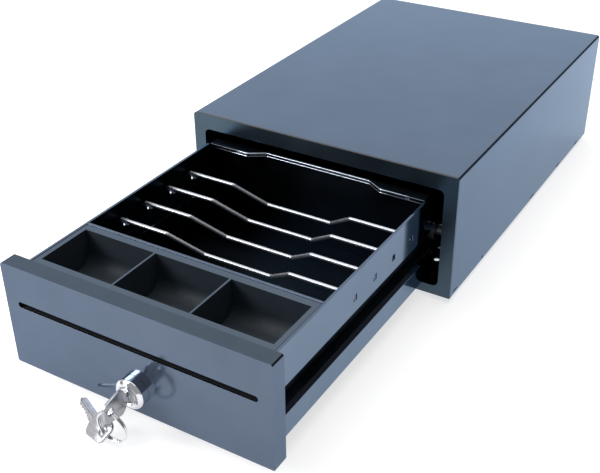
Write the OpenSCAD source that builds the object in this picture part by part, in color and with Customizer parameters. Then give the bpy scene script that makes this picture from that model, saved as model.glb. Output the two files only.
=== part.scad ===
// Compact sheet-steel cash drawer, shown with the drawer fully open.
// Origin: centre of the four counter-fixing holes, on the underside of the base.
// X runs to the right, Y to the back, Z up. The drawer opens towards -Y.
// Housing pieces are placed from the front plane of the housing (local y = 0),
// drawer pieces from the front face of the drawer panel (local y = 0).

/* [Housing] */
// Width of the housing
housing_w = 245; // [220:1:420]
// Depth of the housing
housing_d = 356; // [340:1:480]
// Height of the housing above the underside of its base
housing_h = 109; // [100:1:140]
// Thickness of the sheet steel
sheet = 1; // [0.8:0.1:1.3]
// Outside radius of the cover's long top bends
bend_r = 2.5; // [1.6:0.1:4]
// Width of the front frame beside the opening
frame_side = 11; // [10:0.5:16]
// Height of the front frame below the opening
frame_bottom = 8.3; // [7:0.1:12]
// Height of the front frame above the opening
frame_top = 13.1; // [8:0.1:20]
// Thickness of the front frame's rolled face
frame_t = 2.2; // [1.6:0.1:3]
// Radius of the opening's corners
opening_r = 5; // [3:0.5:8]

/* [Drawer] */
// How far the drawer opens
travel = 241; // [200:1:260]
// Gap all round between the closed panel and the opening
panel_gap = 1.5; // [1:0.1:3]
// Thickness of the folded panel
panel_t = 12.7; // [10:0.1:16]
// Height of the drawer's floor above the underside of the base
floor_z = 14.9; // [13:0.1:20]
// Height of the top of the drawer's sides
side_top = 88.7; // [80:0.1:92]
// Gap between the drawer's side and the edge of the opening
side_gap = 9.8; // [9:0.1:11]
// Length of the runner tails behind the rear wall
tail_l = 64; // [55:1:70]
// Depth of the runner channel pressed into each side
channel_depth = 10; // [8:0.1:12]

/* [Runners] */
// Diameter of the four nylon rollers
roller_d = 19.2; // [16:0.1:20]
// Width of the rollers
roller_w = 6.4; // [5:0.1:7]
// Diameter of the roller axles
axle_d = 5; // [4:0.1:6]
// Gap between a roller and the track it runs in
roller_gap = 0.3; // [0.3:0.05:0.5]
// Radial clearance of turning fits
turn_gap = 0.06; // [0.02:0.01:0.1]

/* [Trays] */
// Length of the coin compartments, front to back
coin_l = 45.7; // [35:0.1:60]
// Depth of the coin tray below its rim
coin_depth = 30; // [20:1:30]
// Number of coin compartments
coin_n = 3; // [2:1:5]
// Wall of the moulded coin tray
coin_wall = 1.6; // [1.2:0.1:2.4]
// Diameter of the bent note wires
wire_d = 3; // [2.5:0.1:4]
// Number of note wires
wire_n = 4; // [2:1:5]
// Spacing of the note wires, front to back
wire_pitch = 29.4; // [27:0.1:34]
// Size of the square holes that hold the wires
wire_hole = 5; // [4.5:0.1:6]

/* [Lock] */
// Height of the lock's axis above the underside of the base
lock_z = 29.6; // [28.5:0.1:34]
// Diameter of the lock's threaded barrel
barrel_d = 19; // [18:0.1:22]
// Diameter of the lock's bezel
bezel_d = 23.6; // [22:0.1:28]
// Diameter of the turning plug
plug_d = 12; // [11:0.1:14]
// Thickness of the keys
key_t = 2; // [1.8:0.1:2.4]
// Radius of the split ring, to the middle of its wire
ring_r = 11.5; // [10:0.5:14]

/* [Feet] */
// Height of the rubber feet
foot_h = 4.5; // [3:0.1:8]
// Diameter of the rubber feet
foot_d = 18; // [12:1:24]
// Distance of each foot's centre from the housing's sides
foot_inset = 24; // [22:1:40]

/* [Hidden] */
$fn = 48;
hidden_eps = 0.2;

// ---- housing, derived ----
front_y = -housing_d / 2;
half_w = housing_w / 2;
inner_x = half_w - sheet;
opening_x = half_w - frame_side;
opening_h = housing_h - frame_bottom - frame_top;
opening_mid_z = frame_bottom + opening_h / 2;
frame_return = 10;
frame_skirt = 14;
cover_l = housing_d - frame_t - sheet;
rear_lip = 10;
rear_y = housing_d - sheet;
flange_h = 62;
flange_x = inner_x - sheet;
counter_hole_r = 2.5;
counter_dx = 180;
counter_dy = housing_d - 96;
foot_x = half_w - foot_inset;
foot_dy = housing_d / 2 - foot_inset;
foot_stem_r = 2.95;
tab_l = 9;
tab_h = 1.8;
tab_z = 1.4;
tab_ys = [housing_d * 0.54, housing_d * 0.75, housing_d * 0.91];
dot_y = 69;
dot_r = 1.3;
vent_y = 11;
rear_screw_r = 1.5;
rear_screw_x = inner_x - 5.5;
rear_screw_zs = [16, housing_h / 2, housing_h - 16];

// ---- drawer, derived ----
panel_w = 2 * (opening_x - panel_gap);
panel_h = opening_h - 2 * panel_gap;
panel_z0 = frame_bottom + panel_gap;
panel_sheet = 1.2;
panel_r = 2;
side_x = opening_x - side_gap;
side_in = side_x - sheet;
rear_wall_y = travel;
side_l = rear_wall_y + sheet + tail_l;
web_x = side_x - channel_depth;
hem_t = 2;
hem_h = 8;
tail_z0 = 28;
tail_z1 = 62;

// ---- runners, derived ----
roller_r = roller_d / 2;
axle_r = axle_d / 2;
channel_top = 56.4;
roller_z = channel_top - roller_gap - roller_r;
channel_bottom = roller_z - roller_r - 4;
channel_slant = 2.5;
slant_in = sheet * (sqrt(2) - 1);
front_roller_y = 24;
rear_roller_y = side_l - 12;
front_roller_x = web_x + 0.8;
rear_roller_x = side_x + 0.9;
rail_t = 1.2;
rail_web = rear_roller_x + roller_w + 3.4;
rail_lip = side_x + 2.2;
rail_gap = 0.4;
rail_y0 = panel_t + 0.8;
rail_l = housing_d - 61;
rail_stop_y = rear_roller_y - travel - 7.3;
rail_stop_h = 3.4;
rail_stop_t = 2.6;
rail_stop_x = front_roller_x + roller_w + 0.7;
rail_boss_r = 6;
rail_boss_ys = [rail_y0 + 40, rail_y0 + rail_l / 2, rail_y0 + rail_l - 30];
shoulder_r = axle_r + 2;
roller_edge = 0.8;

// ---- trays, derived ----
slot_h = 4.6;
slot_w = 2 * side_x - 6;
slot_z = 63.4;
coin_front = 24;
coin_rim_z = side_top - 0.3;
coin_rim_t = 1.8;
coin_rim_x = side_x - hem_t - 0.4;
coin_x = coin_rim_x - 2.3;
coin_back = coin_front + coin_l;
coin_pitch = (2 * coin_x - coin_wall) / coin_n;
coin_hem = 6;
coin_lip = 3;
coin_scoop = 10;
partition_y = coin_back + coin_hem + 0.4;
partition_hem = 2.4;
ledge_x = coin_x + 0.5;
ledge_z = coin_rim_z - coin_rim_t - coin_lip - 0.1;
ledge_hem_x = side_x - hem_t;
ledge_jog_z = side_top - hem_h - 0.3;
wire_r = wire_d / 2;
wire_hole_z = 68.5;
wire_z = wire_hole_z - wire_hole / 2 + wire_r + 0.02;
wire_lead = 34.8;
wire_first_min = partition_y + partition_hem + 16;
wire_step = min(wire_pitch, (rear_wall_y - wire_lead - wire_first_min) / (wire_n - 1));
wire_rise = 8.8;
wire_fore = 8;
wire_dip = 8.9;
wire_aft = 5;
wire_flat_x = 29.7;
wire_slope_x = 53.8;
flange_l = 9;
notch_x0 = 48.7;
notch_x1 = 61.5;

// ---- lock, derived ----
barrel_r = barrel_d / 2;
bezel_face_r = barrel_r - 0.3;
nose_l = 8.5;
plug_r = plug_d / 2;
nut_t = 3.4;
nut_af = 24;
barrel_end = panel_t + nut_t + 0.4;
cam_y = barrel_end + 0.4;
cam_t = 2;
cam_l = lock_z - 4.2;
cam_w = 10;
tail_sq = 7;
cam_screw_r = 2;
key_blade_w = 8;
key_blade_l = 22;
keyway_l = 24;
key_gap = 0.1;
bow_l = 22;
bow_hole_u = 16;
bow_hole_r = 3;
bow_y = -nose_l - 1.2;
ring_wire_r = 0.85;
ring_offset = 0.7;
ring_drop = 1.7;
ring_z = lock_z - ring_drop - ring_r;
ring_y = bow_y - bow_hole_u;
spare_at = 222;
spare_turn = 154;
spare_roll = -37;
keeper_y = frame_skirt + 0.2;
keeper_t = 1.4;
keeper_h = 12;
cam_slot_x = sqrt(pow(cam_l, 2) - pow(lock_z - floor_z - sheet, 2)) + cam_w / 2 + 2;

// ---- release gear, derived ----
latch_y = rear_wall_y + 35;
latch_z = 26;
latch_pin_r = 2;
latch_arm = 14;
latch_t = 3;
ear_x = 5;
ear_t = 1.5;
tongue_z = 33;
tongue_t = 2;
tongue_w = 18;
tongue_l = 25;
window_y = rear_wall_y + 13;
window_l = 7;
coil_y = latch_y + 23.8;
coil_l = 36.4;
coil_r = 9.4;
plunger_r = 4;
plunger_z = latch_z - latch_arm;
ejector_x = 52;
ejector_z = 45;
ejector_r = 3;
ejector_head_r = 7;
ejector_throw = 30;
ejector_y = rear_wall_y + sheet + 0.3 - ejector_throw;
button_throw = 1.5;
guide_y = rear_wall_y + 34;
guide_l = 38;
switch_x = -56;
switch_z = 40;
spring_wire = 0.7;
socket_x = -70;
socket_z = 14;
socket_w = 14;
socket_h = 13;
socket_l = 16;
jack_w = 11.8;
jack_h = 6.9;

// ================= helpers =================

// Extrudes a profile drawn in X and Z from local y = 0 towards the back
module along_y(len) {
    translate([0, len, 0])
        rotate([90, 0, 0])
            linear_extrude(len)
                children();
}

// A round bar along Y that starts at local y = 0
module bar_y(r, len) {
    rotate([-90, 0, 0])
        cylinder(r = r, h = len);
}

// A round bar along X that starts at local x = 0
module bar_x(r, len) {
    rotate([0, 90, 0])
        cylinder(r = r, h = len);
}

// A rectangle with round corners, centred
module round_rect(w, h, r) {
    square([w - 2 * r, h], center = true);
    square([w, h - 2 * r], center = true);
    for (sx = [-1, 1], sz = [-1, 1])
        translate([sx * (w / 2 - r), sz * (h / 2 - r)])
            circle(r = r);
}

// An arch with round top corners, standing on z = 0
module arch(w, h, r) {
    translate([-w / 2, 0])
        square([w, h - r]);
    translate([-w / 2 + r, 0])
        square([w - 2 * r, h]);
    for (sx = [-1, 1])
        translate([sx * (w / 2 - r), h - r])
            circle(r = r);
}

// A box given by its lowest corner and its highest corner
module span(a, b) {
    translate(a)
        cube(b - a);
}

module at_front() {
    translate([0, front_y, 0])
        children();
}

module at_drawer() {
    translate([0, front_y - travel, 0])
        children();
}

// Both sides of something that is drawn on the right
module both_sides() {
    children();
    mirror([1, 0, 0])
        children();
}

// Rings of a mitred bar that follows a list of points; offs are the section's points about the first one
function bar_rings(pts, offs, i = 0) =
    i == 0 ? concat([[for (o = offs) pts[0] + o]], bar_rings(pts, offs, 1)) :
    i == len(pts) - 1 ? [[for (o = offs) pts[i] + o]] :
    let (d0 = (pts[i] - pts[i - 1]) / norm(pts[i] - pts[i - 1]),
         d1 = (pts[i + 1] - pts[i]) / norm(pts[i + 1] - pts[i]),
         n = d0 + d1,
         ring = [for (o = offs) o - (o * n) / (d0 * n) * d0])
    concat([[for (w = ring) pts[i] + w]], bar_rings(pts, [for (w = ring) w - (w * d1) * d1], i + 1));

// A bent bar that starts along +X, as one swept skin
module bent_bar(points, r, sides) {
    section = [for (j = [0 : sides - 1]) [0, r * cos(j * 360 / sides), r * sin(j * 360 / sides)]];
    rings = bar_rings(points, section);
    n = len(points) - 1;
    skin = [for (i = [0 : n - 1], j = [0 : sides - 1])
        let (k = (j + 1) % sides)
        [i * sides + j, (i + 1) * sides + j, (i + 1) * sides + k, i * sides + k]];
    start = [for (j = [0 : sides - 1]) j];
    end = [for (j = [sides - 1 : -1 : 0]) n * sides + j];
    polyhedron(points = [for (ring = rings, p = ring) p],
               faces = concat(skin, [start], [end]), convexity = 10);
}

// A coil spring along Y, as one swept skin
module coil_spring(r, wire, len, turns) {
    sides = 8;
    per_turn = 10;
    n = turns * per_turn;
    pitch = (len - 2 * wire) / turns;
    pts = [for (i = [0 : n], j = [0 : sides - 1])
        let (a = i * 360 / per_turn,
             b = j * 360 / sides,
             q = r + wire * cos(b))
        [q * cos(a), wire + i * pitch / per_turn + wire * sin(b), q * sin(a)]];
    skin = [for (i = [0 : n - 1], j = [0 : sides - 1])
        let (k = (j + 1) % sides)
        [i * sides + j, (i + 1) * sides + j, (i + 1) * sides + k, i * sides + k]];
    start = [for (j = [0 : sides - 1]) j];
    end = [for (j = [sides - 1 : -1 : 0]) n * sides + j];
    polyhedron(points = pts, faces = concat(skin, [start], [end]), convexity = 10);
}

// ================= housing =================

module housing_cover() color("#2b3138") at_front() {
    translate([0, frame_t, 0]) difference() {
        along_y(cover_l)
            arch(housing_w, housing_h, bend_r);
        translate([0, -1, 0])
            along_y(cover_l - sheet + 1)
                translate([0, -1])
                    arch(2 * inner_x, housing_h - sheet + 1, bend_r - sheet);
        translate([0, cover_l - 2 * sheet, 0])
            along_y(3 * sheet)
                translate([0, -1])
                    square([2 * (inner_x - rear_lip), 2 * (housing_h - sheet - rear_lip) + 2], center = true);
        // slots near the lower edge take the tabs of the base
        for (y = tab_ys)
            both_sides()
                span([inner_x - 1, y - tab_l / 2 - frame_t, tab_z],
                     [half_w + 1, y + tab_l / 2 - frame_t, tab_z + tab_h]);
        both_sides() {
            translate([inner_x - 1, dot_y - frame_t, 2.4])
                bar_x(dot_r, 3);
            span([inner_x - 1, vent_y - frame_t - 4, 2.8], [half_w + 1, vent_y - frame_t + 4, 3.8]);
        }
        for (z = rear_screw_zs)
            both_sides()
                translate([rear_screw_x, cover_l - 2 * sheet, z])
                    bar_y(rear_screw_r, 3 * sheet);
    }
}

module front_frame() color("#23292f") at_front() difference() {
    union() {
        along_y(frame_t)
            arch(housing_w, housing_h, bend_r);
        // return round the opening
        translate([0, 0, opening_mid_z])
            along_y(frame_return)
                round_rect(2 * opening_x + 2 * sheet, opening_h + 2 * sheet, opening_r + sheet);
        // skirt that fits inside the cover and stands on the base
        difference() {
            translate([0, frame_t - hidden_eps, sheet])
                along_y(frame_skirt - frame_t)
                    arch(2 * inner_x, housing_h - 2 * sheet, bend_r - sheet);
            translate([0, frame_t, 2 * sheet])
                along_y(frame_skirt)
                    arch(2 * inner_x - 2 * sheet, housing_h - 4 * sheet, bend_r - sheet);
        }
    }
    translate([0, -1, opening_mid_z])
        along_y(frame_skirt)
            round_rect(2 * opening_x, opening_h, opening_r);
}

module base_pan() color("#2b3138") at_front() difference() {
    union() {
        span([-inner_x, frame_t, 0], [inner_x, rear_y - sheet, sheet]);
        both_sides() {
            span([flange_x, frame_skirt + 2, 0], [inner_x, rear_y - sheet, flange_h]);
            for (y = tab_ys)
                span([flange_x, y - tab_l / 2 + 0.2, tab_z + 0.1],
                     [half_w - 0.2, y + tab_l / 2 - 0.2, tab_z + tab_h - 0.1]);
        }
        // upstand inside the rear panel
        span([-inner_x + rear_lip + 4, rear_y - 2 * sheet, 0],
             [inner_x - rear_lip - 4, rear_y - sheet, 22]);
        // stiffening ribs between the runners
        both_sides()
            translate([76, 90, sheet])
                cube([8, housing_d - 190, 1.4]);
    }
    translate([socket_x, rear_y - 3 * sheet, socket_z])
        along_y(4 * sheet)
            square([socket_w + 0.4, socket_h + 0.4], center = true);
    for (sx = [-1, 1], sy = [-1, 1]) {
        translate([sx * counter_dx / 2, housing_d / 2 + sy * counter_dy / 2, -1])
            cylinder(r = counter_hole_r, h = 4);
        translate([sx * foot_x, housing_d / 2 + sy * foot_dy, -1])
            cylinder(r = 3, h = 4);
    }
}

module feet() color("#15171a") at_front()
    for (sx = [-1, 1], sy = [-1, 1])
        translate([sx * foot_x, housing_d / 2 + sy * foot_dy, -foot_h])
            rotate_extrude($fn = 48)
                polygon([[foot_stem_r, 1.2], [foot_stem_r + 1.2, 0], [foot_d / 2 - 1.6, 0],
                         [foot_d / 2 - 0.8, 0.6], [foot_d / 2, foot_h - 1], [foot_d / 2, foot_h],
                         [foot_stem_r, foot_h], [foot_stem_r, foot_h + sheet],
                         [foot_stem_r + 1, foot_h + sheet + 0.4], [foot_stem_r, foot_h + sheet + 3],
                         [0, foot_h + sheet + 3], [0, 1.2]]);

module rear_panel() color("#2b3138") at_front() difference() {
    translate([0, rear_y, 0])
        along_y(sheet)
            arch(housing_w, housing_h, bend_r);
    for (z = rear_screw_zs, sx = [-1, 1])
        translate([sx * rear_screw_x, rear_y - 1, z])
            bar_y(rear_screw_r + 0.3, 4);
    translate([socket_x, rear_y - 1, socket_z])
        along_y(4)
            square([socket_w, socket_h], center = true);
}

module rear_screws() color("#8d9094") at_front()
    for (z = rear_screw_zs, sx = [-1, 1])
        translate([sx * rear_screw_x, rear_y, z])
            difference() {
                union() {
                    translate([0, -6, 0])
                        bar_y(rear_screw_r, 7.6);
                    translate([0, sheet, 0])
                        rotate([-90, 0, 0])
                            cylinder(r1 = 2.9, r2 = 2.3, h = 1.7);
                }
                for (a = [0, 90])
                    translate([0, sheet + 0.8, 0])
                        rotate([0, a, 0])
                            span([-1.6, 0, -0.35], [1.6, 2, 0.35]);
            }

// ================= runners =================

module rail() color("#3a3f45") at_front() difference() {
    union() {
        translate([rail_web, rail_y0, roller_z - roller_r - rail_gap - rail_t])
            cube([rail_t, rail_l, roller_d + 2 * rail_gap + 2 * rail_t]);
        for (z = [roller_z - roller_r - rail_gap - rail_t, roller_z + roller_r + rail_gap])
            translate([rail_lip, rail_y0, z])
                cube([rail_web - rail_lip + rail_t / 2, rail_l, rail_t]);
        for (y = rail_boss_ys)
            translate([rail_web + rail_t / 2, y, roller_z])
                bar_x(rail_boss_r, flange_x - rail_web - rail_t / 2);
        // stop that meets the rear roller when the drawer is fully open
        translate([rail_stop_x, rail_stop_y - rail_stop_t, roller_z - roller_r - rail_gap - rail_t / 2])
            cube([rail_web - rail_stop_x + rail_t / 2, rail_stop_t, rail_stop_h + rail_t / 2]);
        // turned-up stop at the rear end
        translate([rail_lip + 1, rail_y0 + rail_l - rail_t, roller_z - roller_r])
            cube([rail_web - rail_lip, rail_t, roller_d]);
    }
    translate([rail_web - 1, front_roller_y, roller_z])
        bar_x(axle_r, rail_t + 2);
}

module rail_right() rail();

module rail_left() mirror([1, 0, 0]) rail();

// A turned axle: thin part through the roller, shoulder beside it
module axle(x0, x1, shoulder_x0, shoulder_x1) {
    translate([x0, 0, 0])
        bar_x(axle_r, x1 - x0);
    translate([shoulder_x0, 0, 0])
        bar_x(shoulder_r, shoulder_x1 - shoulder_x0);
}

module front_axles() color("#b9bcc0") at_front()
    both_sides()
        translate([0, front_roller_y, roller_z])
            axle(front_roller_x - 0.2, rail_web + rail_t,
                 front_roller_x + roller_w + roller_gap, rail_web);

module rear_axles() color("#b9bcc0") at_drawer()
    both_sides()
        translate([0, rear_roller_y, roller_z])
            axle(web_x - sheet, rear_roller_x + roller_w + 0.2, web_x, rear_roller_x - roller_gap);

// A nylon roller with rounded edges and a plain bore
module roller(x0) {
    translate([x0, 0, 0])
        rotate([0, 90, 0])
            rotate_extrude($fn = 64)
                difference() {
                    polygon([[axle_r + turn_gap, 0], [roller_r - roller_edge, 0], [roller_r, roller_edge],
                             [roller_r, roller_w - roller_edge], [roller_r - roller_edge, roller_w],
                             [axle_r + turn_gap, roller_w]]);
                    translate([shoulder_r + 1, roller_w - 0.8])
                        square([roller_r - shoulder_r - 3, 1]);
                    translate([shoulder_r + 1, -0.2])
                        square([roller_r - shoulder_r - 3, 1]);
                }
}

module front_roller_right() color("#2a2b2e") at_front()
    translate([0, front_roller_y, roller_z])
        roller(front_roller_x);

module front_roller_left() color("#2a2b2e") at_front()
    mirror([1, 0, 0])
        translate([0, front_roller_y, roller_z])
            roller(front_roller_x);

module rear_roller_right() color("#2a2b2e") at_drawer()
    translate([0, rear_roller_y, roller_z])
        roller(rear_roller_x);

module rear_roller_left() color("#2a2b2e") at_drawer()
    mirror([1, 0, 0])
        translate([0, rear_roller_y, roller_z])
            roller(rear_roller_x);

// ================= drawer =================

module front_panel() color("#2b3138") at_drawer() translate([0, 0, panel_z0 + panel_h / 2]) difference() {
    along_y(panel_t)
        round_rect(panel_w, panel_h, panel_r);
    translate([0, panel_sheet, 0])
        along_y(panel_t)
            round_rect(panel_w - 2 * panel_sheet, panel_h - 2 * panel_sheet, panel_r - panel_sheet / 2);
    translate([0, -1, slot_z - panel_z0 - panel_h / 2])
        along_y(4)
            round_rect(slot_w, slot_h, slot_h / 2 - 0.1);
    translate([0, -1, lock_z - panel_z0 - panel_h / 2])
        bar_y(barrel_r + 0.1, 4);
}

module panel_back() color("#23292f") at_drawer() translate([0, 0, panel_z0 + panel_h / 2]) difference() {
    translate([0, panel_t - sheet, 0])
        along_y(sheet)
            round_rect(panel_w - 2 * panel_sheet, panel_h - 2 * panel_sheet, panel_r - panel_sheet / 2);
    translate([0, 0, slot_z - panel_z0 - panel_h / 2])
        along_y(panel_t + 2)
            square([slot_w, slot_h], center = true);
    translate([0, 0, lock_z - panel_z0 - panel_h / 2])
        bar_y(barrel_r + 0.1, panel_t + 2);
}

module media_chute() color("#1b1f24") at_drawer() translate([0, panel_sheet, slot_z]) difference() {
    along_y(panel_t - sheet - panel_sheet)
        square([slot_w + 2, slot_h + 2], center = true);
    translate([0, -1, 0])
        along_y(panel_t)
            square([slot_w, slot_h], center = true);
}

// Outline of a drawer side seen from the front, with its channel and its hemmed top edge
module side_profile(z0, z1, hem) {
    difference() {
        union() {
            translate([side_in, z0])
                square([sheet, z1 - z0]);
            translate([web_x - sheet, channel_bottom])
                square([side_x - web_x + sheet, channel_top + sheet - channel_bottom]);
            if (hem)
                translate([side_x - hem_t, z1 - hem_h])
                    square([hem_t, hem_h]);
        }
        polygon([[side_x + 1, channel_bottom - 1], [side_x, channel_bottom],
                 [side_x - channel_slant, channel_bottom + channel_slant],
                 [web_x, channel_bottom + channel_slant], [web_x, channel_top], [side_x + 1, channel_top]]);
        polygon([[web_x - sheet - 1, channel_bottom - 1], [side_in, channel_bottom - 1],
                 [side_in, channel_bottom - slant_in],
                 [side_x - channel_slant - slant_in, channel_bottom + channel_slant - sheet],
                 [web_x - sheet - 1, channel_bottom + channel_slant - sheet]]);
    }
}

module drawer_side() color("#2b3138") at_drawer() difference() {
    union() {
        translate([0, panel_t, 0])
            along_y(rear_wall_y + sheet - panel_t)
                side_profile(floor_z, side_top, true);
        translate([0, rear_wall_y, 0])
            along_y(side_l - rear_wall_y)
                side_profile(tail_z0, tail_z1, false);
    }
    for (i = [0 : wire_n - 1])
        translate([side_in - hem_t, wire_hole_y(i), wire_hole_z])
            translate([0, -wire_hole / 2, -wire_hole / 2])
                cube([4 * sheet, wire_hole, wire_hole]);
    translate([web_x - 2 * sheet, rear_roller_y, roller_z])
        bar_x(axle_r, 4 * sheet);
}

// Outline of a sheet that fills the drawer from side to side
module cross_profile(z0, z1) {
    half = [[side_in, z0], [side_in, channel_bottom - slant_in],
            [side_x - channel_slant - slant_in, channel_bottom + channel_slant - sheet],
            [web_x - sheet, channel_bottom + channel_slant - sheet],
            [web_x - sheet, channel_top + sheet], [side_in, channel_top + sheet], [side_in, side_top - hem_h],
            [side_x - hem_t, side_top - hem_h], [side_x - hem_t, z1]];
    n = len(half);
    polygon(concat(half, [for (i = [n - 1 : -1 : 0]) [-half[i][0], half[i][1]]]));
}

module drawer_side_right() drawer_side();

module drawer_side_left() mirror([1, 0, 0]) drawer_side();

module drawer_floor() color("#23292f") at_drawer() difference() {
    span([-side_in, panel_t, floor_z], [side_in, rear_wall_y, floor_z + sheet]);
    // slot for the lock's cam
    span([-cam_w / 2 - 2, cam_y - 1, floor_z - 1], [cam_slot_x, cam_y + cam_t + 1, floor_z + 2 * sheet]);
}

module note_partition() color("#2b3138") at_drawer() {
    translate([0, partition_y + partition_hem - sheet, 0])
        along_y(sheet)
            cross_profile(floor_z + sheet, side_top);
    span([-side_x + hem_t, partition_y, side_top - hem_h],
         [side_x - hem_t, partition_y + partition_hem, side_top]);
}

module drawer_rear_wall() color("#2b3138") at_drawer() {
    difference() {
        union() {
            translate([0, rear_wall_y, 0])
                along_y(sheet)
                    cross_profile(floor_z, side_top);
            span([-side_x + hem_t, rear_wall_y - flange_l, side_top - sheet],
                 [side_x - hem_t, rear_wall_y + sheet, side_top]);
        }
        // finger notch in the flange
        translate([0, 0, side_top - 2 * sheet])
            linear_extrude(3 * sheet)
                polygon([[-notch_x1, rear_wall_y - flange_l - 1], [notch_x1, rear_wall_y - flange_l - 1],
                         [notch_x1, rear_wall_y - flange_l], [notch_x0, rear_wall_y - 0.6],
                         [-notch_x0, rear_wall_y - 0.6], [-notch_x1, rear_wall_y - flange_l]]);
    }
}

module striker() color("#9a9da1") at_drawer() difference() {
    union() {
        span([-tongue_w / 2 - 3, rear_wall_y + sheet, tongue_z - 10],
             [tongue_w / 2 + 3, rear_wall_y + sheet + 1.5, tongue_z + 14]);
        span([-tongue_w / 2, rear_wall_y + sheet, tongue_z],
             [tongue_w / 2, rear_wall_y + tongue_l, tongue_z + tongue_t]);
    }
    span([-tongue_w / 2 + 4, window_y, tongue_z - 1],
         [tongue_w / 2 - 4, window_y + window_l, tongue_z + tongue_t + 1]);
}

module coin_ledges() color("#23292f") at_drawer()
    both_sides()
        translate([0, panel_t + 1, 0])
            along_y(partition_y - panel_t - 2)
                polygon([[ledge_x, ledge_z], [ledge_hem_x, ledge_z], [ledge_hem_x, ledge_jog_z],
                         [side_in, ledge_jog_z], [side_in, ledge_jog_z - 12], [side_in - sheet, ledge_jog_z - 12],
                         [side_in - sheet, ledge_jog_z - sheet], [ledge_hem_x - sheet, ledge_jog_z - sheet],
                         [ledge_hem_x - sheet, ledge_z - sheet], [ledge_x, ledge_z - sheet]]);

module coin_tray() color("#1f2429") at_drawer() {
    rim_front = panel_t + 0.6;
    difference() {
        union() {
            span([-coin_rim_x, rim_front, coin_rim_z - coin_rim_t],
                 [coin_rim_x, coin_back + coin_hem, coin_rim_z]);
            span([-coin_x, coin_front - coin_wall, coin_rim_z - coin_depth],
                 [coin_x, coin_back + coin_wall, coin_rim_z]);
            both_sides()
                span([coin_rim_x - 1.4, rim_front, coin_rim_z - coin_rim_t - coin_lip],
                     [coin_rim_x, coin_back + coin_hem, coin_rim_z]);
            span([-coin_rim_x, coin_back + coin_hem - 1.4, coin_rim_z - coin_rim_t - coin_lip],
                 [coin_rim_x, coin_back + coin_hem, coin_rim_z]);
        }
        for (i = [0 : coin_n - 1])
            translate([-coin_x + coin_wall + i * coin_pitch, coin_front, 0])
                coin_well(coin_pitch - coin_wall);
    }
}

// The hollow of one coin compartment, with a scooped front and back
module coin_well(w) {
    scoop = coin_scoop;
    z0 = coin_rim_z - coin_depth + coin_wall;
    span([0, 0, z0 + scoop], [w, coin_l, coin_rim_z + 1]);
    span([0, scoop, z0], [w, coin_l - scoop, z0 + scoop + 1]);
    for (y = [scoop, coin_l - scoop])
        translate([0, y, z0 + scoop])
            bar_x(scoop, w);
}

// The last wire keeps its distance from the rear wall; the others close up where the bay is short
function wire_hole_y(i) = rear_wall_y - wire_lead - (wire_n - 1 - i) * wire_step;

// One note wire: hooked into both sides, with a dip in the middle that leans back
module note_wire(i) color("#d9dce0") at_drawer() {
    y = wire_hole_y(i);
    x_in = side_in - wire_r - 0.7;
    top_y = y - wire_fore;
    top_z = wire_z + wire_rise;
    low_y = y + wire_aft;
    low_z = wire_z - wire_dip;
    bent_bar([
        [-side_x - 0.4, y, wire_z],
        [-x_in, y, wire_z],
        [-x_in, top_y, top_z],
        [-wire_slope_x, top_y, top_z],
        [-wire_flat_x, low_y, low_z],
        [wire_flat_x, low_y, low_z],
        [wire_slope_x, top_y, top_z],
        [x_in, top_y, top_z],
        [x_in, y, wire_z],
        [side_x + 0.4, y, wire_z]
    ], wire_r, 16);
}

module note_wire_1() note_wire(0);

module note_wire_2() note_wire(1);

module note_wire_3() note_wire(2);

module note_wire_4() note_wire(3);

// ================= lock and keys =================

module at_lock() at_drawer() translate([0, 0, lock_z]) children();

module lock_barrel() color("#c9ccd0") at_lock() difference() {
    rotate([-90, 0, 0])
        rotate_extrude($fn = 64)
            polygon([[0, -nose_l + 1], [plug_r + 0.6, -nose_l + 1], [plug_r + 1.4, -nose_l],
                     [bezel_face_r, -nose_l], [bezel_d / 2 - 0.6, -nose_l + 1.7],
                     [bezel_d / 2, -nose_l + 2.9], [bezel_d / 2, 0], [barrel_r, 0],
                     [barrel_r, barrel_end], [0, barrel_end]]);
    translate([0, -nose_l - 1, 0])
        bar_y(plug_r + turn_gap, nose_l + barrel_end + 2);
}

module lock_nut() color("#b9bcc0") at_lock() difference() {
    translate([0, panel_t, 0])
        rotate([-90, 0, 0])
            cylinder(r = nut_af / 2 / cos(30), h = nut_t, $fn = 6);
    translate([0, panel_t - 1, 0])
        bar_y(barrel_r, nut_t + 2);
}

module lock_plug() color("#d4d6d9") at_lock() difference() {
    union() {
        translate([0, -nose_l + 0.1, 0])
            bar_y(plug_r, nose_l + barrel_end + 0.2);
        translate([-tail_sq / 2, barrel_end, -tail_sq / 2])
            cube([tail_sq, cam_y + cam_t - barrel_end, tail_sq]);
    }
    // keyway
    translate([-key_t / 2 - key_gap, -nose_l - 1, -key_blade_w / 2 - key_gap])
        cube([key_t + 2 * key_gap, keyway_l + 1, key_blade_w + 2 * key_gap]);
    translate([0, cam_y - 4, 0])
        bar_y(cam_screw_r, cam_t + 6);
}

module lock_cam() color("#a9acb0") at_lock() difference() {
    translate([0, cam_y, 0]) {
        bar_y(cam_w / 2 + 2.4, cam_t);
        translate([0, 0, -cam_w / 2])
            cube([cam_l - cam_w / 2, cam_t, cam_w]);
        translate([cam_l - cam_w / 2, 0, 0])
            bar_y(cam_w / 2, cam_t);
    }
    translate([-tail_sq / 2, cam_y - 1, -tail_sq / 2])
        cube([tail_sq, cam_t + 2, tail_sq]);
}

module cam_screw() color("#8d9094") at_lock() difference() {
    union() {
        translate([0, cam_y - 3.6, 0])
            bar_y(cam_screw_r, cam_t + 3.6);
        translate([0, cam_y + cam_t, 0])
            bar_y(tail_sq / 2 + 1.4, 1.6);
    }
    translate([-tail_sq / 2, cam_y + cam_t + 0.9, -0.5])
        cube([tail_sq, 2, 1]);
}

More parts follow.
